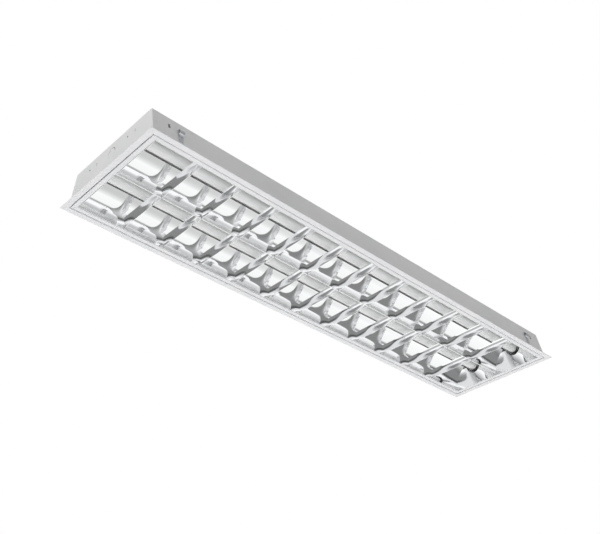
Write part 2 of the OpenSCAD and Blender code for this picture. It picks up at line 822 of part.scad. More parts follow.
// Short rail with mitred ends
module frame_end() {
    inner = rail_y_in - mitre_gap;
    outer = rail_y_in + rail_w - mitre_gap;
    color("whitesmoke") intersection() {
        along_y(module_w) translate([rail_x_in, rail_z]) rail_profile();
        linear_extrude(housing_h) polygon([
            [rail_x_in, -inner], [rail_x_in + rail_w, -outer],
            [rail_x_in + rail_w, outer], [rail_x_in, inner]
        ]);
    }
}

// One lug that stands up from the rail beside a hinge eye
module hinge_lug() {
    difference() {
        along_x(lug_t) {
            translate([hinge_y, hinge_z]) circle(hinge_eye_r);
            translate([hinge_y - hinge_eye_r, leg_z - rail_t / 2])
                square([2 * hinge_eye_r, hinge_z - leg_z + rail_t / 2]);
        }
        translate([0, hinge_y, hinge_z]) rod_x(hinge_pin_r + fastener_gap, lug_t + 2 * over);
    }
}

module frame_rail_a() {
    color("whitesmoke") on_side("a") frame_rail();
}

// The rail on the hinge side has lugs, and notches that let the straps pass when it swings
module frame_rail_b() {
    color("whitesmoke") {
        difference() {
            frame_rail();
            both_ends() translate([hinge_x, rail_y_in + rail_w, leg_z + rail_up / 2])
                cube([2 * (lug_x + notch_gap), rail_w, rail_up], center = true);
        }
        both_ends() for (s = [-1, 1])
            translate([hinge_x + s * (lug_x + lug_t / 2), 0, 0]) hinge_lug();
    }
}

module hinge_pins() {
    color("silver") both_ends() translate([hinge_x, hinge_y, hinge_z])
        rod_x(hinge_pin_r, 2 * (lug_x + lug_t) + lug_gap);
}

// Bowed springs in the channel of rail a, which press on the wall and hold the louvre shut
module louvre_springs() {
    cz = leg_z + spring_r;
    cy = wall_in(cz) - (spring_gap + spring_r) * wall_n;
    color("silver") on_side("a") both_ends() translate([hinge_x, 0, 0]) along_x(spring_w) {
        translate([cy, cz]) difference() {
            circle(spring_r);
            circle(spring_r - spring_t);
            translate([-2 * spring_r, -spring_r - over])
                square([2 * spring_r, 2 * (spring_r + over)]);
        }
        translate([rail_y_in + rail_t + seat_gap, leg_z])
            square([cy - rail_y_in - rail_t - seat_gap + spring_t, spring_t]);
    }
}

// Curved sheet of radius r about zero, from drop below the middle to h above it
module arc_sheet(r, drop, h) {
    intersection() {
        difference() {
            circle(r + mirror_t);
            circle(r);
        }
        translate([0, -drop]) square([r + mirror_t + over, drop + h]);
    }
}

// The clear space of the row at y in Y and Z, held back from its reflectors by a gap
module row_space(y, gap) {
    r = reflector_r - gap;
    intersection() {
        translate([y + arc_shift, louvre_z]) arc_side(r);
        translate([y - arc_shift, louvre_z]) mirror([1, 0]) arc_side(r);
    }
}

// All that lies on the inner side of an arc of that radius about zero
module arc_side(r) {
    circle(r);
    translate([-2 * r, -r]) square([2 * r, 2 * r]);
}

module side_reflector() {
    color("lightsteelblue") difference() {
        along_x(2 * (rail_x_in - seat_gap)) translate([row_y + arc_shift, louvre_z])
            arc_sheet(reflector_r, leg_drop, reflector_h);
        for (i = [1:blade_count])
            translate([blade_x(i), mirror_y, blade_tab_z + blade_tab_h / 2])
                cube([2 * (blade_half(blade_fold_h) + seat_gap), 4 * mirror_t,
                      blade_tab_h + 2 * seat_gap], center = true);
    }
}

// The two inner reflectors, folded from one sheet, with a slot for each blade
module centre_reflector() {
    color("lightsteelblue") difference() {
        along_x(2 * (rail_x_in - seat_gap)) {
            for (s = [0, 1]) mirror([s, 0]) translate([row_y - arc_shift, louvre_z])
                mirror([1, 0]) arc_sheet(reflector_r, 0, reflector_h);
            translate([-spine_w / 2, louvre_z]) square([spine_w, mirror_t]);
        }
        for (i = [1:blade_count]) translate([blade_x(i), 0, louvre_z])
            cube([2 * (blade_half(blade_slot_h) + seat_gap), 2 * (spine_w + over),
                  2 * blade_slot_h], center = true);
    }
}

// Curved end sheet of row b, right end, with its cut for the lamp
module end_reflector() {
    color("lightsteelblue") intersection() {
        translate([mirror_x - end_r, 0, louvre_z]) along_y(module_w)
            arc_sheet(end_r, leg_drop, end_top - louvre_z);
        translate([mirror_x, 0, 0]) along_x(2 * end_lean + 2 * over) difference() {
            row_space(row_y, seat_gap);
            translate([row_y, lamp_z]) circle(lamp_cut_r);
        }
    }
}

module end_reflector_at(row, end) {
    on_side(row) on_end(end) end_reflector();
}

// Solid of a hollow-faced wedge, its faces moved in by d
module blade_wedge(d) {
    half = blade_edge / 2 + blade_face_r;
    difference() {
        translate([-half, 0]) square([2 * half, blade_face_r]);
        for (s = [-1, 1]) translate([s * half, 0]) circle(blade_face_r + d);
    }
}

// Face of a blade in Y and Z: both rows up to its height, the bridge under the spine, and the end tabs
module blade_face() {
    intersection() {
        for (y = [-row_y, row_y]) row_space(y, seat_gap);
        translate([-mirror_y, louvre_z]) square([2 * mirror_y, blade_h]);
    }
    bridge = spine_w / 2 + over;
    tab_l = 2 * over + mirror_t;
    translate([-bridge, louvre_z]) square([2 * bridge, blade_slot_h - seat_gap]);
    for (y = [-mirror_y - mirror_t, mirror_y - 2 * over])
        translate([y, blade_tab_z]) square([tab_l, blade_tab_h]);
}

// Blade folded from one strip, open at the top
module cross_blade(i) {
    color("silver") translate([blade_x(i), 0, 0]) intersection() {
        translate([0, 0, louvre_z]) along_y(2 * (mirror_y + mirror_t)) difference() {
            blade_wedge(0);
            intersection() {
                blade_wedge(mirror_t);
                translate([-blade_face_r, blade_fold_h]) square(2 * blade_face_r);
            }
        }
        along_x(2 * blade_face_r) blade_face();
    }
}

housing_tray();
turned_to("left") end_plate();  // end_plate_left
end_plate();  // end_plate_right
on_side("a") on_end("left") ceiling_clip();  // ceiling_clip_a_left
on_side("a") on_end("right") ceiling_clip();  // ceiling_clip_a_right
on_side("b") on_end("left") ceiling_clip();  // ceiling_clip_b_left
on_side("b") on_end("right") ceiling_clip();  // ceiling_clip_b_right
rivets();
lampholder_at("a", "left");  // lampholder_a_left
lampholder_at("a", "right");  // lampholder_a_right
lampholder_at("b", "left");  // lampholder_b_left
lampholder_at("b", "right");  // lampholder_b_right
ballast_case();
ballast_connectors();
terminal_block();
cable_grommet();
gear_screws();
earth_stud();
hinge_eyes();
supply_wires();
on_end("left") lamp_wires();  // lamp_wires_left
lamp_wires();  // lamp_wires_right
at_lamp("a") lamp_tube();  // lamp_a_tube
at_lamp("a") on_end("left") lamp_cap();  // lamp_a_cap_left
at_lamp("a") on_end("right") lamp_cap();  // lamp_a_cap_right
at_lamp("a") lamp_pins();  // lamp_a_pins
at_lamp("a") on_end("left") lamp_rotor();  // lamp_a_rotor_left
at_lamp("a") on_end("right") lamp_rotor();  // lamp_a_rotor_right
at_lamp("b") lamp_tube();  // lamp_b_tube
at_lamp("b") on_end("left") lamp_cap();  // lamp_b_cap_left
at_lamp("b") on_end("right") lamp_cap();  // lamp_b_cap_right
at_lamp("b") lamp_pins();  // lamp_b_pins
at_lamp("b") on_end("left") lamp_rotor();  // lamp_b_rotor_left
at_lamp("b") on_end("right") lamp_rotor();  // lamp_b_rotor_right
frame_rail_a();
frame_rail_b();
on_end("left") frame_end();  // frame_end_left
frame_end();  // frame_end_right
on_side("a") side_reflector();  // side_reflector_a
side_reflector();  // side_reflector_b
centre_reflector();
end_reflector_at("a", "left");  // end_reflector_a_left
end_reflector_at("a", "right");  // end_reflector_a_right
end_reflector_at("b", "left");  // end_reflector_b_left
end_reflector_at("b", "right");  // end_reflector_b_right
cross_blade(1);  // cross_blade_01
cross_blade(2);  // cross_blade_02
cross_blade(3);  // cross_blade_03
cross_blade(4);  // cross_blade_04
cross_blade(5);  // cross_blade_05
cross_blade(6);  // cross_blade_06
cross_blade(7);  // cross_blade_07
cross_blade(8);  // cross_blade_08
cross_blade(9);  // cross_blade_09
cross_blade(10);  // cross_blade_10
cross_blade(11);  // cross_blade_11
hinge_pins();
louvre_springs();
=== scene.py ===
import json
import math

import bmesh
import bpy
from mathutils import Matrix, Vector


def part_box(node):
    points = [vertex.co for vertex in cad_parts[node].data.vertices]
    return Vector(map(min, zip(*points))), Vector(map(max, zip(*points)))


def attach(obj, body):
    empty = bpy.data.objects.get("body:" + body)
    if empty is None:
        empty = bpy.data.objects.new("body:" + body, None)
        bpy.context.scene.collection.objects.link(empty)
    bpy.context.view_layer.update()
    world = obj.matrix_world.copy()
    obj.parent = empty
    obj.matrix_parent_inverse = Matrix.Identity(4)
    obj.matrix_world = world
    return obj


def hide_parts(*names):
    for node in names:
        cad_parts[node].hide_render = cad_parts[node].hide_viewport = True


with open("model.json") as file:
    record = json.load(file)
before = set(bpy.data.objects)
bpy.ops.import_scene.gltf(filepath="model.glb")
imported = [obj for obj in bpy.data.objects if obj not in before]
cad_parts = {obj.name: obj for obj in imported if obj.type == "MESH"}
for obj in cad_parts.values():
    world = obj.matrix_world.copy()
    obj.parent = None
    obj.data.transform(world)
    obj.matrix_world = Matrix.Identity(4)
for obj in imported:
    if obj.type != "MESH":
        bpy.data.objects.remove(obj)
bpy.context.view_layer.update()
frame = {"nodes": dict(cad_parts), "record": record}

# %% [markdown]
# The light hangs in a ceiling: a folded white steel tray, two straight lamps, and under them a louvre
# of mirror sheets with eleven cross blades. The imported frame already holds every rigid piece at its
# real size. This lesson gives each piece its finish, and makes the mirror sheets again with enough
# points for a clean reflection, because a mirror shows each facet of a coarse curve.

scene = bpy.context.scene
nodes = frame["nodes"]
MM = 0.001

# %% [markdown]
# The photograph looks up at the light from below its left front corner. A camera is fixed by where it
# stands, where it looks and how long its lens is. Here it stands on a line through the middle of the
# light, given by a compass angle, a height angle and a distance, and then steps a little to the side
# and up, with a slight roll. That way the same numbers can be read off, changed and understood.

# %% Camera
IMAGE_W, IMAGE_H = 600, 534
SENSOR = 36.0
view_azimuth = math.radians(-43.604)
view_elevation = math.radians(-34.649)
view_roll = math.radians(-0.623)
view_distance = 1.9679
step_right, step_up = -0.087064, 0.058448
focal_pixels = 868.06

back = Vector((
    math.sin(view_azimuth) * math.cos(view_elevation),
    -math.cos(view_azimuth) * math.cos(view_elevation),
    math.sin(view_elevation),
))
level_right = (-back).cross(Vector((0, 0, 1))).normalized()
level_up = level_right.cross(-back)
right = level_right * math.cos(view_roll) + level_up * math.sin(view_roll)
up = level_up * math.cos(view_roll) - level_right * math.sin(view_roll)
place = back * view_distance + right * step_right + up * step_up

camera_data = bpy.data.cameras.new("camera")
camera_data.sensor_fit = "HORIZONTAL"
camera_data.sensor_width = SENSOR
camera_data.lens = focal_pixels * SENSOR / IMAGE_W
camera_data.clip_end = 100
camera = bpy.data.objects.new("camera", camera_data)
camera.matrix_world = Matrix.Translation(place) @ Matrix((right, up, back)).transposed().to_4x4()
scene.collection.objects.link(camera)
scene.camera = camera
print("lens", round(camera_data.lens, 2), "mm, camera at", [round(v, 3) for v in place])


# %% [markdown]
# A material is a small graph of nodes. These helpers keep each graph short: one adds a node and wires
# its inputs, and the class starts a material around the main shader and offers what most finishes
# share, which is noise, a ramp of values and a fine bump. Noise is read in object coordinates, which
# are metres here, so a scale of 1000 makes grains of about a millimetre on every piece alike. Places
# are metres too, so a finish can change where a piece reaches past a limit. A mix node holds a set of
# sockets for each kind of value, and its sockets for colours are found by their numbers.

# %% Helpers for node graphs
def add_node(tree, kind, inputs=(), **settings):
    made = tree.nodes.new(kind)
    for name, value in settings.items():
        setattr(made, name, value)
    for key, value in dict(inputs).items():
        if isinstance(value, bpy.types.NodeSocket):
            tree.links.new(value, made.inputs[key])
        else:
            made.inputs[key].default_value = value
    return made


def add_ramp(tree, value, stops):
    made = add_node(tree, "ShaderNodeValToRGB", {"Fac": value})
    points = made.color_ramp.elements
    while len(points) < len(stops):
        points.new(0.5)
    for point, (position, color) in zip(points, stops):
        point.position = position
        point.color = (*color, 1)
    return made.outputs["Color"]


MIX_FACTOR, MIX_A, MIX_B, MIX_RESULT = 0, 6, 7, 2


class Finish:
    """A material being made: its graph, its main shader and its coordinates in metres."""

    def __init__(self, name, color, roughness, metallic=0.0, **sockets):
        self.material = bpy.data.materials.new(name)
        self.material.use_nodes = True
        self.tree = self.material.node_tree
        self.shader = self.tree.nodes["Principled BSDF"]
        self.shader.inputs["Base Color"].default_value = (*color, 1)
        self.shader.inputs["Roughness"].default_value = roughness
        self.shader.inputs["Metallic"].default_value = metallic
        for socket, value in sockets.items():
            self.shader.inputs[socket.replace("_", " ")].default_value = value
        self.coords = self.tree.nodes.new("ShaderNodeTexCoord").outputs["Object"]

    def noise(self, scale, stretch=(1, 1, 1), detail=2.0):
        mapped = add_node(self.tree, "ShaderNodeMapping", {"Vector": self.coords, "Scale": stretch})
        return add_node(self.tree, "ShaderNodeTexNoise", {
            "Vector": mapped.outputs[0], "Scale": scale, "Detail": detail}).outputs[0]

    def spread(self, value, low, high, start=0.3, end=0.7):
        return add_node(self.tree, "ShaderNodeMapRange", {
            "Value": value, "From Min": start, "From Max": end,
            "To Min": low, "To Max": high}).outputs[0]

    def tint(self, value, *stops):
        self.drive("Base Color", add_ramp(self.tree, value, stops))

    def drive(self, socket, output):
        self.tree.links.new(output, self.shader.inputs[socket])

    def beyond(self, axis, limit):
        """One where the piece reaches past a limit along an axis, on either side, else zero."""
        place = add_node(self.tree, "ShaderNodeSeparateXYZ", {0: self.coords}).outputs[axis]
        reach = add_node(self.tree, "ShaderNodeMath", {0: place}, operation="ABSOLUTE").outputs[0]
        past = add_node(self.tree, "ShaderNodeMath", {0: reach, 1: limit}, operation="GREATER_THAN")
        return past.outputs[0]

    def recolour(self, mask, color):
        """Lays another colour over the one so far, where the mask is one."""
        base = self.shader.inputs["Base Color"].links[0].from_socket
        mixed = add_node(self.tree, "ShaderNodeMix", {
            MIX_FACTOR: mask, MIX_A: base, MIX_B: (*color, 1)}, data_type="RGBA")
        self.drive("Base Color", mixed.outputs[MIX_RESULT])

    def bump(self, height, distance):
        made = add_node(self.tree, "ShaderNodeBump", {"Height": height, "Distance": distance})
        self.drive("Normal", made.outputs[0])


# %% [markdown]
# A mirror louvre has hardly a colour of its own: it shows what stands round it. So the light in the
# room is drawn first, as a sky around the scene that changes with direction. It could be an image, but
# a short ramp of greys over height is easier to read and to change. The soft room, which lights the
# paint, is bright overhead and below, and greyer near the horizon and on the side of the long near wall.

# %% Studio surroundings
scene.view_settings.view_transform = "Standard"
world = bpy.data.worlds.new("studio")
scene.world = world
world.use_nodes = True
sky = world.node_tree
direction = add_node(sky, "ShaderNodeTexCoord").outputs["Generated"]
parts = add_node(sky, "ShaderNodeSeparateXYZ", {0: direction})
height = add_node(sky, "ShaderNodeMapRange", {"Value": parts.outputs["Z"], "From Min": -1.0}).outputs[0]


def side_light(x_gain, y_gain):
    """Light that grows with the X and Y of the direction looked in."""
    along = add_node(sky, "ShaderNodeMath", {
        0: parts.outputs["X"], 1: x_gain, 2: 1.0}, operation="MULTIPLY_ADD")
    return add_node(sky, "ShaderNodeMath", {
        0: parts.outputs["Y"], 1: y_gain, 2: along.outputs[0]}, operation="MULTIPLY_ADD").outputs[0]


def room_light(greys, strength):
    """A room in greys, given as pairs: how far up from straight below, and how bright."""
    stops = [(place, (grey, grey, grey)) for place, grey in greys]
    return add_node(sky, "ShaderNodeBackground", {
        "Color": add_ramp(sky, height, stops), "Strength": strength}).outputs[0]


SOFT_GREYS = [(0.0, 0.96), (0.3, 0.78), (0.43, 0.32), (0.5, 0.38), (0.58, 0.85), (1.0, 0.92)]
soft_room = room_light(SOFT_GREYS, side_light(-0.1, 0.6))
print("soft room of", len(SOFT_GREYS), "greys")

# %% [markdown]
# What the mirrors show is drawn apart, because it needs harder steps than the light on the paint. There
# the room is white over a wide ring below the light, greyer straight below, and dark grey from a sharp
# step up to the horizon. A dark cloth hangs behind the camera, because two mirrors in a corner look
# back at it. The camera itself sees plain white behind the light.

# %% Room that the mirrors show
MIRRORED_GREYS = [(0.0, 0.62), (0.05, 0.72), (0.14, 1.2), (0.34, 1.2),
                  (0.38, 0.48), (0.44, 0.36), (0.5, 0.28), (0.55, 0.42), (1.0, 0.6)]
CLOTH_TO, CLOTH_DARK = (-0.61, -0.58, -0.54), 0.25
CLOTH_EDGE, CLOTH_INNER = 0.7, 0.95
toward = add_node(sky, "ShaderNodeVectorMath", {0: direction, 1: CLOTH_TO}, operation="DOT_PRODUCT")
cloth = add_node(sky, "ShaderNodeMapRange", {
    "Value": toward.outputs["Value"], "From Min": CLOTH_EDGE, "From Max": CLOTH_INNER,
    "To Min": 1.0, "To Max": CLOTH_DARK}, interpolation_type="SMOOTHSTEP")
shine = add_node(sky, "ShaderNodeMath", {
    0: side_light(-0.1, 0.1), 1: cloth.outputs[0]}, operation="MULTIPLY").outputs[0]
mirrored_room = room_light(MIRRORED_GREYS, shine)

backdrop = add_node(sky, "ShaderNodeBackground", {"Color": (1, 1, 1, 1), "Strength": 1.0}).outputs[0]
rays = add_node(sky, "ShaderNodeLightPath")
around = add_node(sky, "ShaderNodeMixShader", {
    0: rays.outputs["Is Glossy Ray"], 1: soft_room, 2: mirrored_room}).outputs[0]
whole = add_node(sky, "ShaderNodeMixShader", {
    0: rays.outputs["Is Camera Ray"], 1: around, 2: backdrop}).outputs[0]
sky.links.new(whole, sky.nodes["World Output"].inputs["Surface"])
print("sky made of", len(sky.nodes), "nodes")

# %% [markdown]
# Far below lies the floor of the room: a plain pale disc. A wide soft lamp shines down on it, and what
# the floor sends back up lights the flange and the frame from below. The mirrors are kept from showing
# the floor, because the sky already holds the room that they show.

# %% Floor and the soft lamp above it
FLOOR_Z, FLOOR_R = -2.4, 4.5
LAMP_OVER_FLOOR = 0.9
pale = Finish("pale_floor", (0.86, 0.86, 0.87), 0.7)
pale.tint(pale.noise(3.0), (0.4, (0.855, 0.855, 0.865)), (0.6, (0.865, 0.865, 0.875)))
bpy.ops.mesh.primitive_circle_add(vertices=96, radius=FLOOR_R, fill_type="NGON", location=(0, 0, FLOOR_Z))
floor = bpy.context.object
floor.name = "floor"
floor.data.materials.append(pale.material)
floor.visible_glossy = False


def soft_lamp(name, size, power, location, aim):
    data = bpy.data.lights.new(name, "AREA")
    data.shape = "DISK"
    data.size = size
    data.energy = power
    lamp = bpy.data.objects.new(name, data)
    lamp.location = location
    lamp.rotation_euler = (Vector(aim) - Vector(location)).to_track_quat("-Z", "Y").to_euler()
    lamp.visible_camera = False
    scene.collection.objects.link(lamp)
    return lamp


soft_lamp("floor_lamp", size=2.4, power=18.0,
          location=(0, 0, FLOOR_Z + LAMP_OVER_FLOOR), aim=(0, 0, FLOOR_Z))
print("floor at", FLOOR_Z, "m")

# %% [markdown]
# The tray, end plates and louvre frame are steel with white powder paint. Baked powder never lies quite
# flat: it has a fine orange peel, a soft sheen and faint cloudy patches. The peel is a low bump of fine
# noise, and the sheen varies a little, which keeps long plain faces from looking like plastic. The
# small dimples pressed out of the end plates get painted shade: paint that stands proud of a plate,
# above the height of the flange, is made greyer, as if the dimples caught shadow.

# %% White powder paint
finishes = {}
PLATE_OUT = 610.5 * MM
PROUD = 0.1 * MM
DIMPLES_FROM_Z = 30 * MM
paint = Finish("white_powder_paint", (0.86, 0.86, 0.87), 0.42, Specular_IOR_Level=0.45)
cloud = paint.noise(9.0, detail=4.0)
paint.tint(cloud, (0.35, (0.84, 0.845, 0.85)), (0.65, (0.885, 0.885, 0.89)))
paint.drive("Roughness", paint.spread(paint.noise(60.0), 0.38, 0.5))
paint.bump(paint.noise(260.0, detail=2.0), 0.00003)
# Painted shade: paint standing proud of an end plate above the flange, in the dimples, is greyed.
dimple_painted_shade = add_node(paint.tree, "ShaderNodeMath", {
    0: paint.beyond("X", PLATE_OUT + PROUD), 1: paint.beyond("Z", DIMPLES_FROM_Z)}, operation="MULTIPLY")
paint.recolour(dimple_painted_shade.outputs[0], (0.3, 0.3, 0.3))
finishes["white_paint"] = paint.material
print("white powder paint ready")

# %% [markdown]
# Clips, screws and hinges are zinc plated, and the springs are blued spring steel. Zinc plate is a soft
# grey metal with small patches that differ in gloss. Voronoi cells give each patch its own value. The
# rivets of the folded tabs, next to the end plates, were painted together with the tray.

# %% Plated and spring steel
TAB_REACH = 16 * MM
zinc = Finish("zinc_plate", (0.62, 0.63, 0.65), 0.34, metallic=1.0)
cells = add_node(zinc.tree, "ShaderNodeTexVoronoi", {"Vector": zinc.coords, "Scale": 450.0})
zinc.tint(cells.outputs["Color"], (0.1, (0.52, 0.53, 0.55)), (0.9, (0.7, 0.71, 0.73)))
zinc.drive("Roughness", zinc.spread(cells.outputs["Distance"], 0.28, 0.45, start=0.0, end=0.8))
zinc.bump(zinc.noise(900.0), 0.00003)
painted = zinc.beyond("X", PLATE_OUT - TAB_REACH)
zinc.recolour(painted, (0.85, 0.85, 0.86))
zinc.drive("Metallic", zinc.spread(painted, 1.0, 0.0, start=0.0, end=1.0))
finishes["zinc_steel"] = zinc.material

spring = Finish("spring_steel", (0.42, 0.43, 0.46), 0.3, metallic=1.0)
spring.tint(spring.noise(120.0, stretch=(1, 8, 1)), (0.3, (0.33, 0.35, 0.4)), (0.7, (0.5, 0.5, 0.52)))
spring.bump(spring.noise(500.0, stretch=(1, 12, 1)), 0.00003)
finishes["spring_steel"] = spring.material
print("steel finishes ready")

# %% [markdown]
# Holders, rotors, connectors and the terminal block are moulded plastics. A mould leaves an even satin
# skin with a very fine grain. The holders are made nearly black as painted shade, which darkens the
# crescents round the lamp ends. The holders are nearly black, which is guessed from the dark crescents
# round the lamp ends in the photograph. The grommet is soft dark rubber with a duller skin. One function
# makes them all, from a darker and a lighter colour, the roughness and the depth of the grain.

# %% Plastics and rubber
def moulded(name, dark, light, roughness, grain):
    plastic = Finish(name, light, roughness, Specular_IOR_Level=0.5)
    plastic.tint(plastic.noise(40.0, detail=3.0), (0.35, dark), (0.65, light))
    plastic.drive("Roughness", plastic.spread(plastic.noise(200.0), roughness - 0.05, roughness + 0.07))
    plastic.bump(plastic.noise(1600.0), grain)
    return plastic.material


MOULDED = {
    # The nearly black holders are painted shade for the dark crescents round the lamp ends.
    "holder_plastic": ((0.05, 0.05, 0.052), (0.075, 0.075, 0.077), 0.42, 0.00003),
    "terminal_plastic": ((0.7, 0.69, 0.64), (0.78, 0.77, 0.72), 0.42, 0.00003),
    "grommet_rubber": ((0.03, 0.03, 0.032), (0.05, 0.05, 0.052), 0.62, 0.00006),
    "lamp_wire_jacket": ((0.76, 0.76, 0.74), (0.84, 0.84, 0.82), 0.45, 0.00002),
}
for name, values in MOULDED.items():
    finishes[name] = moulded(name, *values)
print("plastics ready:", ", ".join(MOULDED))

# %% [markdown]
# The supply wires are told apart by the colour of their jackets. Both wires share one node, so the
# colour follows the place across the light: brown on one side of the middle and blue on the other.
# A little noise is added to the side's zero or one, so each jacket runs over two close shades.

# %% Supply wire jackets
jacket = Finish("supply_wire_jackets", (0.3, 0.14, 0.06), 0.42)
across = add_node(jacket.tree, "ShaderNodeSeparateXYZ", {0: jacket.coords}).outputs["Y"]
grain = jacket.noise(300.0)
side = add_node(jacket.tree, "ShaderNodeMath", {0: across, 1: 0.0}, operation="GREATER_THAN")
shade = add_node(jacket.tree, "ShaderNodeMath", {
    0: grain, 1: 0.1, 2: side.outputs[0]}, operation="MULTIPLY_ADD")
jacket.tint(shade.outputs[0], (0.0, (0.2, 0.09, 0.035)), (0.1, (0.26, 0.12, 0.05)),
            (0.9, (0.03, 0.1, 0.36)), (1.0, (0.05, 0.14, 0.45)))
jacket.bump(grain, 0.00003)
finishes["supply_wire_jacket"] = jacket.material
print("wire jackets ready")

# %% [markdown]
# The ballast case is bare rolled steel with fine lines along its length, and the pins and the earth
# stud are brass. Stretched noise makes the rolling lines: its scale is small along X and large across.

# %% Ballast steel and brass
rolled = Finish("ballast_steel", (0.72, 0.72, 0.73), 0.36, metallic=1.0)
lines = rolled.noise(900.0, stretch=(0.02, 1, 1), detail=3.0)
rolled.tint(lines, (0.3, (0.62, 0.62, 0.64)), (0.7, (0.78, 0.78, 0.79)))
rolled.drive("Roughness", rolled.spread(lines, 0.3, 0.45))
finishes["ballast_steel"] = rolled.material

brass = Finish("brass", (0.8, 0.6, 0.28), 0.28, metallic=1.0)
brass.tint(brass.noise(250.0), (0.3, (0.7, 0.5, 0.22)), (0.7, (0.84, 0.65, 0.34)))
brass.bump(brass.noise(1500.0), 0.00002)
finishes["brass"] = brass.material

cap = Finish("lamp_cap_metal", (0.8, 0.8, 0.81), 0.3, metallic=1.0)
cap.tint(cap.noise(700.0, stretch=(6, 1, 1)), (0.3, (0.7, 0.7, 0.72)), (0.7, (0.84, 0.84, 0.85)))
cap.drive("Roughness", cap.spread(cap.noise(90.0), 0.22, 0.4))
finishes["lamp_cap_metal"] = cap.material
print("metals ready")

# %% [markdown]
# A straight lamp is a clear glass tube with a white powder coat inside. From outside it looks like
# milky china under a hard clear gloss. The shader says just that: a pale dull base for the powder, with
# faint streaks along the tube, and a smooth coat over it for the glass.

# %% Lamp glass with its powder coat
glass = Finish("lamp_glass", (0.9, 0.905, 0.9), 0.5, Coat_Weight=1.0, Coat_Roughness=0.04)
streaks = glass.noise(160.0, stretch=(0.05, 1, 1), detail=3.0)
glass.tint(streaks, (0.35, (0.83, 0.835, 0.83)), (0.65, (0.92, 0.925, 0.92)))
finishes["lamp_glass"] = glass.material
print("lamp glass ready")

# %% [markdown]
# The louvre is rolled aluminium, brightened and anodised. It is nearly a mirror, but the rolling leaves
# fine lines along the sheet, so a reflection is drawn out into soft streaks, and the thin sheet is
# never quite flat. Fine stretched noise in the roughness and the bump makes the lines, and a slow
# wide bump makes the slight waves. The lines run along the light on the reflectors and across it on the
# blades. Between the folded faces of a blade light bounces more often than a render follows it, so
# faces that look up get a faint glow in its place.

# %% Mirror aluminium
MIRROR_LIGHT, MIRROR_DARK = (0.9, 0.905, 0.91), (0.87, 0.875, 0.88)
MIRROR_ROUGHNESS = 0.05
LINE_DEPTH, WAVE_DEPTH = 0.001 * MM, 0.06 * MM
GLOW_FROM, GLOW_FULL = 0.03, 0.2


def mirror_sheet(name, stretch, glow):
    sheet = Finish(name, MIRROR_LIGHT, MIRROR_ROUGHNESS, metallic=1.0)
    lines = sheet.noise(1400.0, stretch=stretch, detail=3.0)
    sheet.drive("Roughness", sheet.spread(lines, MIRROR_ROUGHNESS * 0.7, MIRROR_ROUGHNESS * 1.5))
    sheet.tint(lines, (0.3, MIRROR_DARK), (0.7, MIRROR_LIGHT))
    waves = add_node(sheet.tree, "ShaderNodeBump", {"Height": sheet.noise(14.0), "Distance": WAVE_DEPTH})
    fine = add_node(sheet.tree, "ShaderNodeBump", {
        "Height": lines, "Distance": LINE_DEPTH, "Normal": waves.outputs[0]})
    sheet.drive("Normal", fine.outputs[0])
    facing = sheet.tree.nodes.new("ShaderNodeTexCoord").outputs["Normal"]
    upward = add_node(sheet.tree, "ShaderNodeSeparateXYZ", {0: facing}).outputs["Z"]
    sheet.shader.inputs["Emission Color"].default_value = (1, 1, 1, 1)
    sheet.drive("Emission Strength", sheet.spread(upward, 0.0, glow, GLOW_FROM, GLOW_FULL))
    finishes[name] = sheet.material


mirror_sheet("mirror_aluminium", stretch=(0.015, 1, 1), glow=0.02)
mirror_sheet("blade_aluminium", stretch=(1, 0.03, 1), glow=0.14)
print("finishes:", ", ".join(sorted(finishes)))

# %% [markdown]
# Every node of the frame carries the name of its material slot. Giving it a finish is then one
# assignment in its own slot, and nothing about its shape changes.

# %% Dress the nodes of the frame
slot_of = {part["node"]: part["material_slot"] for part in frame["record"]["subparts"]}
for name, node in nodes.items():
    for material_slot in node.material_slots:
        material_slot.material = finishes[slot_of[name]]
print(len(nodes), "nodes dressed")

# %% [markdown]
# Now the mirror sheets. In the frame they are true to size but coarse, and a mirror shows it. Each is
# made again here as a grid of points that follows the same arcs, then given its thickness with the
# Solidify modifier, which also closes the rims and the edges of every window in the sheet. The grid
# is the face that the light sees, and the thickness grows away from it.

# %% Helpers for thin sheets
SHEET_T = 0.5 * MM
SHARP = math.radians(35)


def thin_sheet(name, grid, offset, skip=lambda i, j: False, extra=()):
    """A sheet through a grid of points, without the squares to skip, with small boxes added."""
    mesh = bpy.data.meshes.new(name)
    form = bmesh.new()
    points = [[form.verts.new(p) for p in row] for row in grid]
    for i in range(len(grid) - 1):
        for j in range(len(grid[0]) - 1):
            if not skip(i, j):
                form.faces.new((points[i][j], points[i + 1][j], points[i + 1][j + 1], points[i][j + 1]))
    bmesh.ops.delete(form, geom=[v for v in form.verts if not v.link_faces], context="VERTS")
    form.to_mesh(mesh)
    form.free()
    piece = bpy.data.objects.new(name, mesh)
    scene.collection.objects.link(piece)
    solid = piece.modifiers.new("thickness", "SOLIDIFY")
    solid.thickness = SHEET_T
    solid.offset = offset
    solid.use_even_offset = True
    settle(piece, extra)
    return piece


def settle(piece, extra=()):
    """Applies the modifiers, adds small boxes given by their corners, and smooths the faces."""
    bpy.context.view_layer.update()
    seen = piece.evaluated_get(bpy.context.evaluated_depsgraph_get())
    mesh = bpy.data.meshes.new_from_object(seen)
    piece.modifiers.clear()
    piece.data = mesh
    form = bmesh.new()
    form.from_mesh(mesh)
    for low, high in extra:
        middle, size = (Vector(low) + Vector(high)) / 2, Vector(high) - Vector(low)
        place = Matrix.Translation(middle) @ Matrix.Diagonal((*size, 1))
        bmesh.ops.create_cube(form, size=1, matrix=place)
    form.to_mesh(mesh)
    form.free()
    mesh.shade_smooth()
    mesh.set_sharp_from_angle(angle=SHARP)


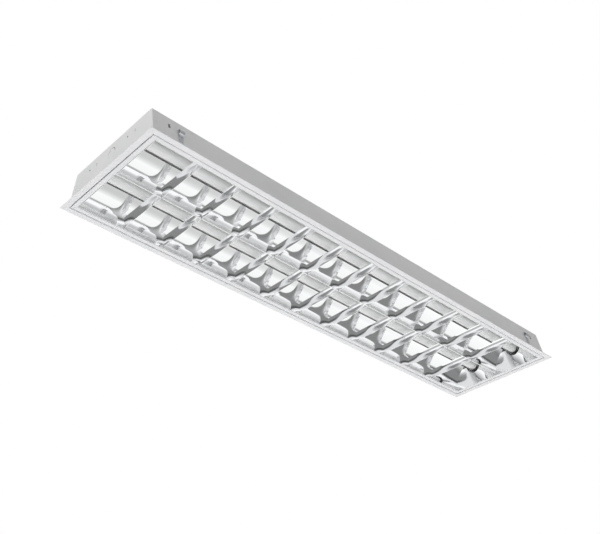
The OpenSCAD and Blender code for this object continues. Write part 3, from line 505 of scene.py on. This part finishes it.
def stand_for(piece, node, material):
    """Lets the piece take the place of a node of the louvre, and prints how far their boxes differ."""
    piece.data.materials.clear()
    piece.data.materials.append(finishes[material])
    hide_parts(node)
    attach(piece, "louvre")
    low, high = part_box(node)
    off = 0.0
    for k in range(3):
        places = [(piece.matrix_world @ v.co)[k] for v in piece.data.vertices]
        off = max(off, abs(min(places) - low[k]), abs(max(places) - high[k]))
    print(f"{piece.name}: {len(piece.data.polygons)} faces, box off by {off / MM:.2f} mm")


# %% [markdown]
# Both rows have the same cross-section. At the lower edge a row is widest and its walls stand upright.
# From there each wall follows an arc that leans in over the lamp. Heights and outer widths come from the
# boxes of the side and centre reflectors, so that they agree with the frame. The half thickness of the
# fold between the rows and the half width left at the top are given, and the radius follows from them.

# %% Section of a row
side_low, side_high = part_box("side_reflector_b")
LIP_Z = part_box("centre_reflector")[0][2]
LEG_Z = side_low[2]
TOP_Z = side_high[2]
SPINE_HALF = 0.8 * MM
THROAT_HALF = 26.4 * MM
wall_y = side_high[1] - SHEET_T
row_y = (wall_y + SPINE_HALF) / 2
row_half = (wall_y - SPINE_HALF) / 2
drop, rise = row_half - THROAT_HALF, TOP_Z - LIP_Z
arc_r = (drop * drop + rise * rise) / (2 * drop)
ARC_STEPS = 40
print("row middle", round(row_y / MM, 2), "mm, arc radius", round(arc_r / MM, 2), "mm")


def half_width(z):
    """Half the width of a row at a height, from its middle to the arc of a wall."""
    return row_half - arc_r + math.sqrt(arc_r ** 2 - (z - LIP_Z) ** 2)


def arc_heights():
    """Heights at even turns along the arc of a wall."""
    top_angle = math.asin(rise / arc_r)
    return [LIP_Z + arc_r * math.sin(top_angle * i / ARC_STEPS) for i in range(ARC_STEPS + 1)]


# %% [markdown]
# The cross blades pass through slots in the centre reflector, and their tabs sit in small windows in
# the side reflectors. So the grids need a line on both sides of every blade. The narrow strip between
# such a pair of lines is left out of the sheet where the slot or the window is.

# %% Places along the light
BLADES = [f"cross_blade_{i:02d}" for i in range(1, 12)]
blade_x = [sum(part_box(name)[k][0] for k in (0, 1)) / 2 for name in BLADES]
end_x = side_high[0]
NEAR = 0.1 * MM


def stations(half_gap):
    lines = [-end_x, end_x]
    for x in blade_x:
        lines += [x - half_gap, x + half_gap]
    return sorted(lines)


def at_blade(lines, i):
    middle = (lines[i] + lines[i + 1]) / 2
    return any(abs(middle - x) < NEAR for x in blade_x)


print(len(blade_x), "blades from", round(blade_x[0] / MM, 1), "to", round(blade_x[-1] / MM, 1), "mm")

# %% [markdown]
# A side reflector is one long sheet with an upright leg below and an arc above. Every line of its grid
# is the same section, set at the stations, and the windows for the tabs of the blades are left out.

# %% Side reflectors
WINDOW_HALF = 0.9 * MM
WINDOW_LOW, WINDOW_HIGH = LIP_Z + 1.0 * MM, LIP_Z + 4.0 * MM
heights = sorted([LEG_Z] + arc_heights() + [WINDOW_LOW, WINDOW_HIGH])
lines = stations(WINDOW_HALF)
for side, sign in (("a", -1), ("b", 1)):
    grid = [[(x, sign * (row_y + (half_width(z) if z > LIP_Z else row_half)), z) for z in heights]
            for x in lines]

    def window(i, j):
        return at_blade(lines, i) and WINDOW_LOW < (heights[j] + heights[j + 1]) / 2 < WINDOW_HIGH

    piece = thin_sheet(f"mirror_side_{side}", grid, offset=sign, skip=window)
    stand_for(piece, f"side_reflector_{side}", "mirror_aluminium")

# %% [markdown]
# The centre reflector is one strip folded into a deep V with hollow sides. Its sharp lower fold is the
# thin bright line between the rows. The profile runs down one arc, round the fold and up the other.

# %% Centre reflector
SLOT_HALF, SLOT_TOP = 1.25 * MM, LIP_Z + 7.0 * MM
FOLD_STEPS = 8
arm = [(row_y - half_width(z), z) for z in sorted(arc_heights()[1:] + [SLOT_TOP], reverse=True)
       if z > LIP_Z + SPINE_HALF]
turns = [math.pi * i / FOLD_STEPS for i in range(FOLD_STEPS + 1)]
fold = [(SPINE_HALF * math.cos(turn), LIP_Z + SPINE_HALF * (1 - math.sin(turn))) for turn in turns]
profile = arm + fold + [(-y, z) for y, z in reversed(arm)]
lines = stations(SLOT_HALF)
grid = [[(x, y, z) for y, z in profile] for x in lines]


def slot_gap(i, j):
    return at_blade(lines, i) and (profile[j][1] + profile[j + 1][1]) / 2 < SLOT_TOP


piece = thin_sheet("mirror_centre", grid, offset=1, skip=slot_gap)
stand_for(piece, "centre_reflector", "mirror_aluminium")

# %% [markdown]
# Each end reflector closes a row. It leans in as it rises, follows the arcs of the row at its sides,
# and has a round cut in its top edge where the lamp passes. Every column of the grid runs from the
# lower edge to whichever limit comes first at that place: the top, the arc or the cut.

# %% End reflectors
END_LEAN, CUT_R = 8 * MM, 21 * MM
lamp_low, lamp_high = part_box("lamp_b_tube")
lamp_z = (lamp_low[2] + lamp_high[2]) / 2
end_low, end_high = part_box("end_reflector_b_right")
end_r = (END_LEAN ** 2 + rise ** 2) / (2 * END_LEAN)
SEAT_GAP = 0.2 * MM
UP_STEPS, SIDE_STEPS, CUT_STEPS = 24, 18, 16


def wall_limit(across):
    """Height where the arc of the row stands over this place, counted from the row's middle."""
    reach = abs(across) - (row_half - arc_r)
    if reach <= 0:
        return TOP_Z
    return LIP_Z + math.sqrt(max((arc_r - SEAT_GAP) ** 2 - reach ** 2, 0.0))


def end_limit(across):
    """Height of the upper edge: the top, the arc of the row or the round cut, whichever is lowest."""
    top = min(end_high[2], wall_limit(across))
    if abs(across) < CUT_R:
        top = min(top, lamp_z - math.sqrt(CUT_R ** 2 - across ** 2))
    return top


def wall_stops(last_angle):
    """Places across a row at even turns along the arc of its wall, up to an angle."""
    return [row_half - arc_r + (arc_r - SEAT_GAP) * math.cos(last_angle * i / SIDE_STEPS)
            for i in range(SIDE_STEPS + 1)]


def mirrored(stops):
    return sorted({round(s * v, 7) for v in stops for s in (-1, 1)})


edge_angle = math.asin((end_high[2] - LIP_Z) / (arc_r - SEAT_GAP))
cut_stops = [CUT_R * math.sin(math.pi / 2 * i / CUT_STEPS) for i in range(CUT_STEPS + 1)]
across_stops = mirrored(wall_stops(edge_angle) + cut_stops)
print("end reflectors of", len(across_stops), "columns")
for row, side in (("a", -1), ("b", 1)):
    for end, sign in (("left", -1), ("right", 1)):
        grid = []
        for across in across_stops:
            column = []
            for i in range(UP_STEPS + 1):
                z = LEG_Z + (end_limit(across) - LEG_Z) * i / UP_STEPS
                lean = end_r - math.sqrt(end_r ** 2 - max(z - LIP_Z, 0.0) ** 2)
                column.append((sign * (end_high[0] - SHEET_T - lean), side * row_y + across, z))
            grid.append(column)
        piece = thin_sheet(f"mirror_end_{row}_{end}", grid, offset=-sign)
        stand_for(piece, f"end_reflector_{row}_{end}", "mirror_aluminium")

# %% [markdown]
# A cross blade is one sheet folded along its lower edge and spread open upwards, so that its section is
# a V with hollow faces. It spans both rows: the low bridge in its middle sits in the slot of the centre
# reflector. Its upper edges run level in each row, and its ends follow the side arcs. Each section has
# the same number of points, from one upper edge round the fold to the other, so that neighbouring
# sections join point to point even where the blade is low.

# %% Section of a cross blade
FACE_R, BLADE_H = 42 * MM, 20.5 * MM
EDGE_HALF = 0.5 * MM
FACE_FROM = EDGE_HALF * 1.2
BRIDGE_H, BRIDGE_HALF = 6.8 * MM, 1.8 * MM
FACE_STEPS, TURN_STEPS = 18, 6


def blade_top(y):
    """Height of the upper edge at a place across the light."""
    across = abs(y) - row_y
    top = min(LIP_Z + BLADE_H, wall_limit(across)) if abs(across) < row_half - SEAT_GAP else LIP_Z
    return max(top, LIP_Z + BRIDGE_H) if abs(y) <= BRIDGE_HALF else max(top, LIP_Z + EDGE_HALF)


def face_x(h):
    return EDGE_HALF + FACE_R - math.sqrt(FACE_R ** 2 - h ** 2)


def blade_section(top):
    """Points of the V, as places along the light and heights over the lower edge."""
    levels = [top * (1 - i / FACE_STEPS) for i in range(FACE_STEPS)]
    face = [(-face_x(h), h) for h in levels if h > FACE_FROM]
    while len(face) < FACE_STEPS:
        face.append((-EDGE_HALF, FACE_FROM))
    turns = [math.pi * i / TURN_STEPS for i in range(TURN_STEPS + 1)]
    fold = [(-EDGE_HALF * math.cos(turn), EDGE_HALF * (1 - math.sin(turn))) for turn in turns]
    return face + fold + [(-x, h) for x, h in reversed(face)]


print("blade", round(2 * face_x(BLADE_H) / MM, 1), "mm wide at the top")

# %% [markdown]
# The upper edge of a blade falls along the arc of the wall in its last few millimetres. There the
# columns of the grid stand close, up to a place a little past the corner where the edge turns level.
# Between those places they stand at even steps.

# %% Cross blades
TAB_UP, TAB_H, TAB_HALF = 1.2 * MM, 2.6 * MM, 0.5 * MM
CLOSE_SPAN = 5.05 * MM
SPAN_STEPS = 28
close_from = row_half - SEAT_GAP - CLOSE_SPAN
close_angle = math.acos((close_from - (row_half - arc_r)) / (arc_r - SEAT_GAP))
even_stops = [close_from * i / SPAN_STEPS for i in range(SPAN_STEPS)]
row_stops = mirrored(wall_stops(close_angle) + even_stops)
bridge_stops = {-BRIDGE_HALF, BRIDGE_HALF}
blade_y = sorted({round(s * (row_y + a), 7) for a in row_stops for s in (-1, 1)} | bridge_stops)
sections = [(y, blade_section(blade_top(y) - LIP_Z)) for y in blade_y]
print("blades of", len(blade_y), "columns, close from", round(close_from / MM, 2), "mm off the row's middle")
for name, x in zip(BLADES, blade_x):
    grid = [[(x + dx, y, LIP_Z + h) for dx, h in section] for y, section in sections]
    tabs = [((x - EDGE_HALF, y - TAB_HALF, LIP_Z + TAB_UP),
             (x + EDGE_HALF, y + TAB_HALF, LIP_Z + TAB_UP + TAB_H)) for y in (wall_y, -wall_y)]
    piece = thin_sheet(f"mirror_{name}", grid, offset=-1, extra=tabs)
    stand_for(piece, name, "blade_aluminium")
